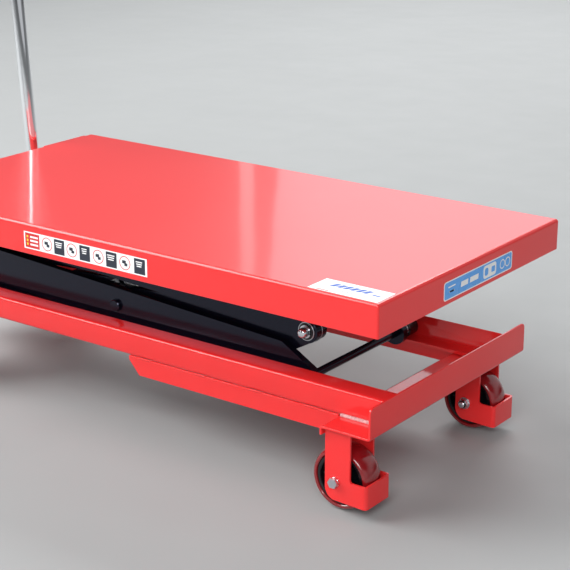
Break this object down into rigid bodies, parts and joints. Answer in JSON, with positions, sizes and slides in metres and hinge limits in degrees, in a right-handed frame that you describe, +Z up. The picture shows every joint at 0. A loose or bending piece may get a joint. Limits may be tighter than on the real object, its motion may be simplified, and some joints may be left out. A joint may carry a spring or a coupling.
{
  "type": "double scissor lift table",
  "caption": "Double-scissor hydraulic lift table with a steel deck, folded base frame, two fixed and two swivel casters, foot pump and push handle.",
  "frame": {"origin": "middle of the bounding box on the floor under the wheels", "axes": "+X towards the fixed-caster end, -X towards the push handle and pedal, +Z up, table mirrored about the XZ plane"},
  "size_m": [1.2, 0.52, 0.9925],
  "materials": {
    "red_paint": "glossy powder coat",
    "black_paint": "glossy black powder coat",
    "zinc": "zinc plated, satin",
    "chrome": "polished",
    "polyurethane": "dark red, glossy",
    "nylon": "moulded, satin",
    "rubber": "matte"
  },
  "bodies": {
    "base": {"base_channel_near": "red_paint", "base_channel_far": "red_paint", "side_strip_near": "red_paint", "side_strip_far": "red_paint", "front_cross_member": "red_paint", "rear_cross_member": "red_paint", "base_pivot_shaft": "zinc", "push_handle": "chrome", "fixed_fork_near": "red_paint", "fixed_fork_far": "red_paint", "fixed_axle_near": "zinc", "fixed_axle_far": "zinc", "swivel_plate_near": "zinc", "swivel_plate_far": "zinc", "pump_block": "red_paint", "lever_clamp": "zinc"},
    "lower_inner": {"lower_inner_arm_near": "black_paint", "lower_inner_arm_far": "black_paint", "mid_front_shaft": "chrome", "lower_centre_shaft": "black_paint"},
    "lower_outer": {"lower_outer_arm_near": "black_paint", "lower_outer_arm_far": "black_paint", "base_roller_shaft": "black_paint", "mid_rear_shaft": "chrome", "lift_bridge": "black_paint"},
    "upper_outer": {"upper_outer_arm_near": "black_paint", "upper_outer_arm_far": "black_paint", "upper_centre_shaft": "black_paint"},
    "upper_inner": {"upper_inner_arm_near": "black_paint", "upper_inner_arm_far": "black_paint", "deck_roller_shaft": "black_paint"},
    "deck": {"deck_pan": "red_paint", "deck_rail_near": "red_paint", "deck_rail_far": "red_paint", "deck_ear_near": "red_paint", "deck_ear_far": "red_paint", "deck_pivot_shaft": "zinc"},
    "barrel": {"cylinder_barrel": "red_paint"},
    "rod": {"cylinder_rod": "chrome"},
    "pedal": {"foot_pedal": "black_paint"},
    "plunger": {"pump_plunger": "chrome"},
    "release": {"release_lever": "black_paint"},
    "base_roller_near": {"base_roller_near": "nylon"},
    "deck_roller_near": {"deck_roller_near": "nylon"},
    "fixed_wheel_near": {"fixed_tread_near": "polyurethane", "fixed_core_near": "nylon"},
    "caster_near": {"swivel_fork_near": "zinc", "swivel_axle_near": "zinc"},
    "swivel_wheel_near": {"swivel_tread_near": "polyurethane", "swivel_core_near": "nylon"},
    "brake_near": {"brake_pedal_near": "rubber"},
    "base_roller_far": {"base_roller_far": "nylon"},
    "deck_roller_far": {"deck_roller_far": "nylon"},
    "fixed_wheel_far": {"fixed_tread_far": "polyurethane", "fixed_core_far": "nylon"},
    "caster_far": {"swivel_fork_far": "zinc", "swivel_axle_far": "zinc"},
    "swivel_wheel_far": {"swivel_tread_far": "polyurethane", "swivel_core_far": "nylon"},
    "brake_far": {"brake_pedal_far": "rubber"}
  },
  "joints": [
    {"name": "lift", "type": "hinge", "parent": "base", "child": "lower_inner", "pos_m": [-0.38379, 0, 0.1563], "axis": [0, -1, 0], "range_deg": [0, 39.5]},
    {"name": "lower_cross", "type": "hinge", "parent": "lower_inner", "child": "lower_outer", "pos_m": [0.0016, 0, 0.19415], "axis": [0, -1, 0], "range_deg": [-79, 0]},
    {"name": "mid_front", "type": "hinge", "parent": "lower_inner", "child": "upper_outer", "pos_m": [0.387, 0, 0.232], "axis": [0, -1, 0], "range_deg": [-79, 0]},
    {"name": "upper_cross", "type": "hinge", "parent": "upper_outer", "child": "upper_inner", "pos_m": [0.0016, 0, 0.26985], "axis": [0, -1, 0], "range_deg": [0, 79]},
    {"name": "deck_level", "type": "hinge", "parent": "upper_outer", "child": "deck", "pos_m": [-0.38379, 0, 0.3077], "axis": [0, -1, 0], "range_deg": [0, 39.5]},
    {"name": "barrel_swing", "type": "hinge", "parent": "base", "child": "barrel", "pos_m": [-0.38379, 0, 0.1563], "axis": [0, -1, 0], "range_deg": [0, 47.1]},
    {"name": "rod_slide", "type": "slide", "parent": "barrel", "child": "rod", "axis": [0.9896, 0, 0.1436], "range_m": [0, 0.0617]},
    {"name": "pedal_press", "type": "hinge", "parent": "base", "child": "pedal", "pos_m": [-0.456, 0, 0.184], "axis": [0, -1, 0], "range_deg": [0, 22], "stiffness_Nm_per_rad": 6, "springref_deg": -22.92},
    {"name": "plunger_stroke", "type": "slide", "parent": "base", "child": "plunger", "axis": [0, 0, -1], "range_m": [0, 0.0145]},
    {"name": "release_pull", "type": "hinge", "parent": "base", "child": "release", "pos_m": [-0.4791, 0.159, 0.858], "axis": [0, -1, 0], "range_deg": [0, 14], "stiffness_Nm_per_rad": 0.8, "springref_deg": -17.19},
    {"name": "base_roller_spin_near", "type": "hinge", "parent": "lower_outer", "child": "base_roller_near", "pos_m": [0.387, -0.15425, 0.1563], "axis": [0, 1, 0], "continuous": true},
    {"name": "deck_roller_spin_near", "type": "hinge", "parent": "upper_inner", "child": "deck_roller_near", "pos_m": [0.387, -0.15425, 0.3077], "axis": [0, 1, 0], "continuous": true},
    {"name": "fixed_wheel_spin_near", "type": "hinge", "parent": "base", "child": "fixed_wheel_near", "pos_m": [0.502, -0.185, 0.05], "axis": [0, 1, 0], "continuous": true},
    {"name": "swivel_near", "type": "hinge", "parent": "base", "child": "caster_near", "pos_m": [-0.36, -0.185, 0.118], "axis": [0, 0, 1], "continuous": true},
    {"name": "swivel_wheel_spin_near", "type": "hinge", "parent": "caster_near", "child": "swivel_wheel_near", "pos_m": [-0.398, -0.185, 0.05], "axis": [0, 1, 0], "continuous": true},
    {"name": "brake_press_near", "type": "hinge", "parent": "caster_near", "child": "brake_near", "pos_m": [-0.411, -0.185, 0.1105], "axis": [0, -1, 0], "range_deg": [0, 18]},
    {"name": "base_roller_spin_far", "type": "hinge", "parent": "lower_outer", "child": "base_roller_far", "pos_m": [0.387, 0.15425, 0.1563], "axis": [0, 1, 0], "continuous": true},
    {"name": "deck_roller_spin_far", "type": "hinge", "parent": "upper_inner", "child": "deck_roller_far", "pos_m": [0.387, 0.15425, 0.3077], "axis": [0, 1, 0], "continuous": true},
    {"name": "fixed_wheel_spin_far", "type": "hinge", "parent": "base", "child": "fixed_wheel_far", "pos_m": [0.502, 0.185, 0.05], "axis": [0, 1, 0], "continuous": true},
    {"name": "swivel_far", "type": "hinge", "parent": "base", "child": "caster_far", "pos_m": [-0.36, 0.185, 0.118], "axis": [0, 0, 1], "continuous": true},
    {"name": "swivel_wheel_spin_far", "type": "hinge", "parent": "caster_far", "child": "swivel_wheel_far", "pos_m": [-0.398, 0.185, 0.05], "axis": [0, 1, 0], "continuous": true},
    {"name": "brake_press_far", "type": "hinge", "parent": "caster_far", "child": "brake_far", "pos_m": [-0.411, 0.185, 0.1105], "axis": [0, -1, 0], "range_deg": [0, 18]}
  ],
  "couplings": [
    {"joint": "lower_cross", "follows": "lift", "ratio": -2},
    {"joint": "mid_front", "follows": "lift", "ratio": -2},
    {"joint": "upper_cross", "follows": "lift", "ratio": 2},
    {"joint": "deck_level", "follows": "lift", "ratio": 1},
    {"joint": "barrel_swing", "follows": "lift", "ratio": 1.18},
    {"joint": "rod_slide", "follows": "lift", "m_per_rad": 0.088},
    {"joint": "plunger_stroke", "follows": "pedal_press", "m_per_rad": 0.036}
  ]
}
